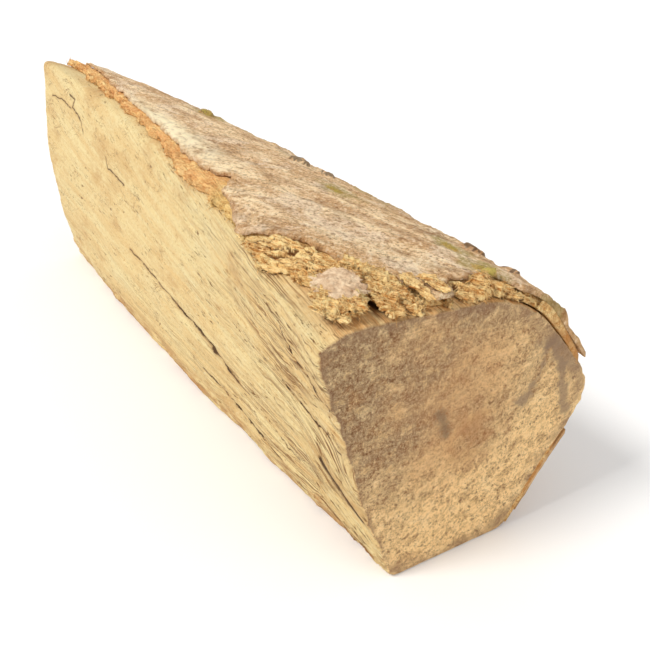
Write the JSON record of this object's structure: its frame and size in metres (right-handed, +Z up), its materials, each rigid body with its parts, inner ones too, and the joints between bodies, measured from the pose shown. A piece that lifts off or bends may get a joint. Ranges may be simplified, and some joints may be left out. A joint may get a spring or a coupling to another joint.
{
  "type": "split log",
  "caption": "Split firewood billet with two riven faces, two sawn ends, a knot at one end and bark with a torn fibrous edge on its round side.",
  "frame": {"origin": "centre of the footprint of the whole log's box, on the surface it rests on", "axes": "+Y along the log from the front sawn end with the knot to the back sawn end, +Z up, +X towards the rounder side with the knot"},
  "size_m": [0.1612, 0.5046, 0.1734],
  "materials": {
    "wood": "dry riven and sawn wood, cream-yellow with grey-brown weathering on the sawn end, matt",
    "bast": "torn fibrous inner bark, ochre to orange-brown, matt",
    "skin": "weathered outer bark, pale grey-beige, mottled, matt",
    "curl": "rolled scrap of bark, ochre fibres with a greyish skin, matt",
    "strand": "loose torn bark fibres, golden ochre, matt",
    "flake": "thin pale splinters of inner bark, matt",
    "moss": "dry olive-green moss, soft and matt"
  },
  "bodies": {
    "root": {"split_wood": "wood", "inner_bark": "bast", "outer_bark": "skin", "bark_curl": "curl", "torn_strand_front": "strand", "torn_strand_back": "strand", "bark_flake_left": "flake", "bark_flake_right": "flake", "moss_tuft_1": "moss", "moss_tuft_2": "moss", "moss_tuft_3": "moss", "moss_tuft_4": "moss", "moss_tuft_5": "moss"}
  },
  "joints": []
}
